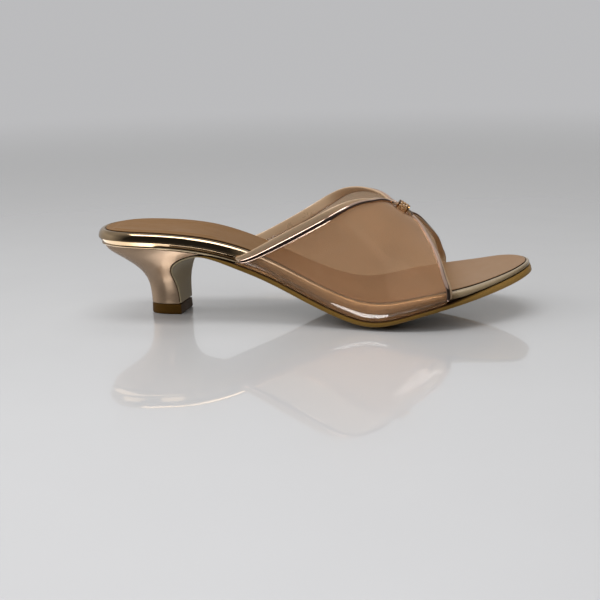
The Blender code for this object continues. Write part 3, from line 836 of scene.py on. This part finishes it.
# a level is a straight line from the rear edge to the front one, pulled to the sole's curved edge the nearer
# it lies to it, swelled outwards half way up, and turned in at the margin
def bandPoint(side, climb, along, puckered=False):
    climb, along = np.broadcast_arrays(np.asarray(climb, float), np.asarray(along, float))
    sign, mix = sideSign[side], along[..., None]

    def level(at):
        return bandEnd(side, "rear", at) * (1 - mix) + bandEnd(side, "front", at) * mix

    foot = level(np.zeros_like(climb))
    pull = ((1 - climb) ** 2 * (1 + 2 * climb))[..., None]
    point = level(climb) + pull * (bandFoot(side, foot[..., 0]) - foot)
    point[..., 1] += sign * band["bulge"] * np.sin(math.pi * along) * np.sin(math.pi * climb)
    above = point[..., 2] - bandFoot(side, point[..., 0])[..., 2]
    tuck = np.clip(1 - above / band["tuckHeight"], 0, 1) ** band["tuckPower"]
    point[..., 1] -= sign * (band["tuck"] * tuck)
    if puckered:
        for station, height, wide, tall, depth in band["puckers"]:
            far = ((point[..., 0] - station) / wide) ** 2 + ((above - height) / tall) ** 2
            point[..., 1] += sign * depth * np.exp(-far)
    return point


# the direction out of the band at one edge, and how much of a level one mm is there
def edgeFrame(side, end, climb):
    at, step = (0.0, band["edgeStep"]) if end == "rear" else (1.0, -band["edgeStep"])
    tangent = unit(np.gradient(bandPoint(side, climb, at), axis=0))
    into = bandPoint(side, climb, at + step) - bandPoint(side, climb, at)
    square = into - tangent * (into * tangent).sum(-1, keepdims=True)
    least = band["leastReach"] * np.linalg.norm(into, axis=-1)
    reach = np.maximum(np.linalg.norm(square, axis=-1), least)
    return unit(np.cross(tangent, square)), abs(step) / reach


# Strips: a flat tape over each edge with a round piping on its outer face, both gathered into the clasp.
# Rows are widths from the sole to the clasp.
strip = {
    "climb": (0, 0.25, 0.55, 0.8, 1),
    "rear": {"tape": (4.6, 6.4, 6, 3.6, 2), "piping": (2.5, 3, 2.8, 2.2, 1.8)},
    "front": {"tape": (3.8, 3.5, 3.1, 2.6, 2), "piping": (2.4, 2.4, 2.2, 2, 1.8)},
    # how tall each is, how far above the band and past the tape's inner edge, and how boxy
    "tape": {"tall": 1.4, "lift": 0, "past": 0, "square": 3},
    "piping": {"tall": 2, "lift": 0.7, "past": 0.1, "square": 2.1},
    "start": 0.03,
    "leave": 0.955,  # climb at which a strip leaves the edge for the clasp
    "tail": (0.6, -1.2),  # the last two points, outside and inside the barrel's end
    "tailSide": 0.9, "tailDown": 0.6,
    "pathRows": 120, "rows": 190, "sides": 32, "endRound": 1.3,
    "outWeight": 3,  # of a direction beside one mm, as the path is spaced
    "rubGain": 2, "rubFrom": 0.7,
}
# Clasp: a turned barrel with a rolled lip at each end, set all round with cut stones
clasp = {
    "length": 7.2, "radius": 2.7, "sides": 40,
    "rise": 2.9, "back": 0.9, "outer": 1.8,  # its middle from the fold
    # mm in from an end, share of the radius
    "lip": ((0, 0), (0, 0.72), (0.2, 0.98), (0.55, 0.96), (0.8, 0.86), (1, 0.84)),
    "rubbed": 0.9,
    "stone": 0.98, "stoneSides": 8, "stoneSeat": 0.86,
    "stoneRows": 3, "stonesAround": 8, "stoneMargin": 2.2,  # the length left to the lips
    # half width and height at the table, crown, girdle and point
    "stoneCut": ((0, 0.36), (0.55, 0.36), (0.72, 0.24), (1, 0.05), (0.9, -0.08), (0, -0.5)),
}


# a strip's width at any climb, by the cubic through its row
def stripWidth(end, part, climb):
    return spline(climb, strip["climb"], strip[end][part])


# the barrel's middle, its axis along the fold from rear to front, and the way up out of the fold
def claspFrame():
    ends = bandPoint("lateral", np.array([1.0, 1.0]), np.array([0.0, 1.0]))
    axis = unit(ends[1] - ends[0])
    out = np.cross(np.array([0.0, 1.0, 0.0]), axis)
    out = out * np.sign(out[2])
    middle = ends.mean(0) + out * clasp["rise"] - axis * clasp["back"]
    return middle + np.array([0.0, clasp["outer"], 0.0]), axis, out


# a grid of climb and place along each side, joined over the top, where it is smoothed by a bell curve
def makeBand():
    climb = np.linspace(0, 1, band["climbRows"] + 1) ** band["climbPower"]
    sides = []
    for side in sideSign:
        ends = []
        for end in ("rear", "front"):
            ends.append(band["underTape"] * stripWidth(end, "tape", climb) * edgeFrame(side, end, climb)[1])
        start, stop = ends[0], 1 - ends[1]
        along = start[:, None] + (stop - start)[:, None] * np.linspace(0, 1, band["alongColumns"] + 1)
        sides.append(bandPoint(side, climb[:, None], along, puckered=True))
    sheet = np.r_[sides[0], sides[1][-2::-1]]
    rows = np.arange(len(sheet)) - (len(sides[0]) - 1)
    near = np.exp(-((rows / band["foldRows"]) ** 2))[:, None, None]
    for _ in range(band["foldPasses"]):
        softer = sheet.copy()
        softer[1:-1] = (sheet[:-2] + 2 * sheet[1:-1] + sheet[2:]) / 4
        sheet = sheet * (1 - near) + softer * near
    faces = gridFaces(*sheet.shape[:2])
    piece = addPiece("vinylBand", sheet, amberVinyl, ["upper"], sharp=60, faces=faces)
    wall = piece.modifiers.new("wall", "SOLIDIFY")
    wall.thickness = band["wall"] * mm
    wall.offset = 0.0
    wall.use_even_offset = True


# a superellipse carried along an edge, then into the clasp; it starts as a quarter circle at the sole
def carryStrip(name, side, end, part, material, nodes=()):
    shape = strip[part]
    climb = np.linspace(strip["start"], strip["leave"], strip["pathRows"])
    out, perMm = edgeFrame(side, end, climb)
    wide = stripWidth(end, part, climb)
    inset = stripWidth(end, "tape", climb) - wide / 2 + shape["past"]
    along = np.clip(inset * perMm, 0, 0.5)
    path = bandPoint(side, climb, along if end == "rear" else 1 - along)
    out = out * np.sign((out * (0, sideSign[side], 1)).sum(-1, keepdims=True))
    middle, axis, up = claspFrame()
    facing = -1 if end == "rear" else 1
    reach = clasp["length"] / 2 + np.array(strip["tail"])
    sink = np.array([0.0, strip["tailSide"] * sideSign[side], 0.0]) - strip["tailDown"] * up
    tail = middle + axis * facing * reach[:, None] + sink
    route = np.r_[path + out * shape["lift"], tail]
    outs = np.r_[out, [up, up]]
    sizes = np.c_[wide, np.full_like(wide, shape["tall"])]
    sizes = np.r_[sizes, sizes[-1:], sizes[-1:]]
    line = refine(np.c_[route, outs * strip["outWeight"], sizes], strip["rows"])
    route, outs = line[:, :3], unit(line[:, 3:6])
    tangent = unit(np.gradient(route, axis=0))
    sideways = unit(np.cross(tangent, outs))
    outs = np.cross(sideways, tangent)
    ahead = np.clip(1 - lengthAlong(route) / strip["endRound"], 0, 1)
    full = np.sqrt(np.clip(1 - ahead**2, 0, 1)) + 1e-3
    turn = circle(strip["sides"]).T
    flat, high = np.sign(turn) * np.abs(turn) ** (2 / shape["square"])
    section = line[:, 6:8] / 2 * full[:, None]
    rings = route[:, None] + sideways[:, None] * section[:, :1, None] * flat[None, :, None]
    rings = closedTube(rings + outs[:, None] * section[:, 1:, None] * high[None, :, None])
    rub = np.clip(np.abs(flat) * np.abs(high) * strip["rubGain"] - strip["rubFrom"], 0, 1)
    masks = {"rub": np.broadcast_to(rub, rings.shape[:2])}
    addPiece(name, rings, material, nodes, sharp=60, masks=masks)


makeBand()
for end in ("rear", "front"):
    for side, word in (("lateral", "Outer"), ("medial", "Inner")):
        carryStrip(end + word + "Tape", side, end, "tape", tanTape, [f"{end}_binding_{side}"])
        carryStrip(end + word + "Piping", side, end, "piping", stripGold)
print("vinyl band and strips made")


# the barrel is its profile turned round the axis
def makeClasp():
    middle, axis, up = claspFrame()
    beside = np.cross(axis, up)
    along, reach = np.array(clasp["lip"]).T
    along, reach = along - clasp["length"] / 2, reach * clasp["radius"]
    profile = np.r_[np.c_[along, reach], np.c_[-along[::-1], reach[::-1]]]
    turn = circle(clasp["sides"])
    spin = turn[:, :1] * up + turn[:, 1:] * beside
    rings = middle + axis * profile[:, 0][:, None, None] + spin[None] * profile[:, 1][:, None, None]
    rub = (profile[:, 1:] > clasp["radius"] * clasp["rubbed"]).astype(float)
    masks = {"rub": np.broadcast_to(rub, rings.shape[:2])}
    addPiece("claspBarrel", rings, claspGold, ["clasp"], sharp=50, masks=masks)
    # one cut stone, placed in staggered rows round the barrel
    reach, height = np.array(clasp["stoneCut"]).T
    stone = raised(reach[:, None, None] * circle(clasp["stoneSides"]), height[:, None]) * clasp["stone"]
    rows, around = clasp["stoneRows"], clasp["stonesAround"]
    row, place = np.meshgrid(np.arange(rows), np.arange(around), indexing="ij")
    lean = (place + 0.5 * (row % 2)) * 2 * math.pi / around
    far = (row - (rows - 1) / 2) * (clasp["length"] - clasp["stoneMargin"]) / rows
    face = np.cos(lean)[..., None] * up + np.sin(lean)[..., None] * beside
    seat = middle + axis * far[..., None] + face * clasp["radius"] * clasp["stoneSeat"]
    axes = np.stack([np.broadcast_to(axis, face.shape), np.cross(face, axis), face], -2).reshape(-1, 3, 3)
    stones = seat.reshape(-1, 1, 1, 3) + np.einsum("lai,nij->nlaj", stone, axes)
    each = gridFaces(*stone.shape[:2], wrap=True)
    first = np.arange(rows * around) * stone.shape[0] * stone.shape[1]
    faces = (each[None] + first[:, None, None]).reshape(-1, 4)
    addPiece("claspStones", stones, champagneStone, sharp=0, faces=faces)


makeClasp()
print("clasp made")

# Studio: a pale floor that fades into the backdrop, soft boxes above and in front, a dark room at eye level
studio = {
    "floorTone": (0.60, 0.60, 0.61),
    "floorPaler": 1.03,
    "floorPolish": (0.4, 0.8),  # seen this much from the side
    "floorFade": (0.45, 1.7),  # distances in m over which the floor gives way to the backdrop
    "floorRings": (0.001, 0.5, 2, 3),
    "floorSides": 96,
    "backdrop": (0.50, 0.50, 0.51),
    "camera": (154.1, -602, 162.4),  # station, minus offset and height, in mm
    "turn": (3.29, -14.46, -1.43),  # to the left, up, roll
    "lens": 62.93,
    "sensor": 36,
    # place, aim, size and power. Fills leave no mark in the metal, glints only shine.
    "boxes": {
        "topBox": ((-0.075, -0.12, 1), (-0.075, -0.12, 0), (0.85, 0.36), 5.5),
        "waistBox": ((0.15, -0.31, 1), (0.15, -0.31, 0), (0.40, 0.22), 1.6),
        "pipingGlint": ((-0.70, -0.26, 0.72), (0, 0, 0.05), (0.46, 0.34), 3.2),
        # cards on the floor, as mirrored from below
        "marginGlint": ((0.018, -0.044, 0.001), (0.018, -0.044, 1), (0.045, 0.010), 0.02),
        "seatGlint": ((-0.140, 0.010, 0.001), (-0.140, 0.010, 1), (0.09, 0.12), 0.05),
        "heelGlint": ((-0.094, -0.014, 0.001), (-0.094, -0.014, 1), (0.010, 0.016), 0.0004),
        "stripGlint": ((0, 0, 1), (0, 0, 0), (2.4, 2.4), 7.5),
        "leftFill": ((-0.90, -0.05, 0.52), (0, 0, 0.04), (0.8, 0.8), 4.2),
        "frontFill": ((-0.15, -0.60, 0.60), (0, 0, 0.04), (1.2, 0.6), 2.8),
        "backFill": ((0.10, 0.55, 1.15), (0, 0, 0.05), (1, 0.4), 2.2),
    },
    "only": {  # the pieces that a lamp lights alone
        "waistBox": ("rimmedFootbed",),
        "pipingGlint": ("rearOuterPiping", "claspStones"),
        "marginGlint": ("vinylBand",),
        "seatGlint": ("rimmedFootbed",),
        "heelGlint": ("flaredHeel",),
        "stripGlint": ("rearOuterPiping", "rearInnerPiping", "frontOuterPiping", "frontInnerPiping"),
    },
    "never": {"topBox": ("frontOuterPiping",)},  # the pieces that it leaves out
    "paleSide": (-0.55, 0.83, 0),
    "paleEdge": (-0.2, 0.4),
    # sine of the elevation and brightness, for the dark side of the room and for the backdrop's side
    "room": ((-1, 0.40), (-0.06, 0.35), (0, 0.03), (0.88, 0.02), (0.95, 0.15), (1, 0.35)),
    "behind": (
        (-1, 0.40), (-0.06, 0.40), (0, 0.40), (0.2, 0.45), (0.35, 0.5), (0.6, 0.35), (1, 0.35),
    ),
}


def makeFloor():
    material, tree, shader = newMaterial("paleFloor", Coat_IOR=2.1, Coat_Roughness=0.03)
    marks = useGroup(tree, smudges, size=3.0, low=0.2, high=0.26)
    tone = studio["floorTone"]
    paler = tuple(part * studio["floorPaler"] for part in tone)
    tone = mixColour(tree, marks["Cloud"], (*tone, 1), (*paler, 1))
    # the metal sees a polished table
    mirrored = addNode(tree, "ShaderNodeLightPath").outputs["Is Glossy Ray"]
    finishWith(tree, shader, Base_Color=tone, Roughness=marks["Value"], Metallic=mirrored)
    facing = addNode(tree, "ShaderNodeLayerWeight").outputs["Facing"]
    place = addNode(tree, "ShaderNodeTexCoord").outputs["Object"]
    far = addNode(tree, "ShaderNodeVectorMath", {0: place}, operation="LENGTH").outputs["Value"]
    fade = rangeNode(tree, far, studio["floorFade"], (1.0, 0.0), interpolation_type="SMOOTHSTEP")
    finishWith(tree, shader, Coat_Weight=rangeNode(tree, facing, studio["floorPolish"]), Alpha=fade)
    sides = studio["floorSides"]
    rings = np.array(studio["floorRings"])[:, None, None] * circle(sides)
    points = raised(rings, np.zeros(1)).reshape(-1, 3)
    faces = gridFaces(len(rings), sides, wrap=True).tolist() + [list(range(sides))]
    mesh = bpy.data.meshes.new("floor")
    mesh.from_pydata(points.tolist(), [], faces)
    mesh.materials.append(material)
    floor = addObject("floor", mesh)


def makeLights():
    for name, (place, aim, size, power) in studio["boxes"].items():
        light = bpy.data.lights.new(name, "AREA")
        light.shape, light.energy = "RECTANGLE", power
        light.size, light.size_y = size
        lamp = addObject(name, light)
        lamp.location = place
        lamp.rotation_euler = (Vector(aim) - Vector(place)).to_track_quat("-Z", "Y").to_euler()
        lamp.visible_glossy = not name.endswith("Fill")
        if name.endswith("Glint"):
            lamp.visible_camera = lamp.visible_diffuse = lamp.visible_transmission = False
        for state, listed in (("INCLUDE", studio["only"]), ("EXCLUDE", studio["never"])):
            if name in listed:
                lit = bpy.data.collections.new(name + "Pieces")
                for piece in listed[name]:
                    lit.objects.link(bpy.data.objects[piece])
                lamp.light_linking.receiver_collection = lit
                for linked in lit.collection_objects:
                    linked.light_linking.link_state = state


def makeWorld():
    world = bpy.data.worlds.new("studio")
    world.use_nodes = True
    tree = world.node_tree
    place = addNode(tree, "ShaderNodeTexCoord").outputs["Generated"]
    height = addNode(tree, "ShaderNodeSeparateXYZ", {"Vector": place}).outputs["Z"]
    spread = rangeNode(tree, height, (-1.0, 1.0))
    sides = []
    for rows in (studio["room"], studio["behind"]):
        ramp = addNode(tree, "ShaderNodeValToRGB", {"Fac": spread})
        stops = ramp.color_ramp.elements
        for i, (sine, tone) in enumerate(rows):
            stop = stops.new((sine + 1) / 2) if 0 < i < len(rows) - 1 else stops[-(i > 0)]
            stop.position, stop.color = (sine + 1) / 2, (tone, tone, tone, 1)
        sides.append(ramp.outputs[0])
    inputs = {0: place, 1: studio["paleSide"]}
    pale = addNode(tree, "ShaderNodeVectorMath", inputs, operation="DOT_PRODUCT").outputs["Value"]
    room = mixColour(tree, rangeNode(tree, pale, studio["paleEdge"]), sides[0], sides[1])
    seen = addNode(tree, "ShaderNodeLightPath").outputs["Is Camera Ray"]
    backdrop = mixColour(tree, seen, room, (*studio["backdrop"], 1))
    tree.links.new(backdrop, tree.nodes["Background"].inputs["Color"])
    scene.world = world
    scene.view_settings.view_transform = "Standard"


def makeCamera():
    lens = bpy.data.cameras.new("camera")
    lens.lens, lens.sensor_width = studio["lens"], studio["sensor"]
    lens.clip_start, lens.clip_end = 0.02, 100.0
    camera = addObject("camera", lens)
    left, up, roll = (math.radians(angle) for angle in studio["turn"])
    turn = Matrix.Rotation(left, 4, "Z") @ Matrix.Rotation(math.pi / 2 + up, 4, "X")
    turn = turn @ Matrix.Rotation(roll, 4, "Z")
    camera.matrix_world = Matrix.Translation(Vector(studio["camera"]) * mm + Vector(shift) * mm) @ turn
    scene.camera = camera


makeFloor()
makeLights()
makeWorld()
makeCamera()
print("studio ready")

bpy.context.view_layer.update()
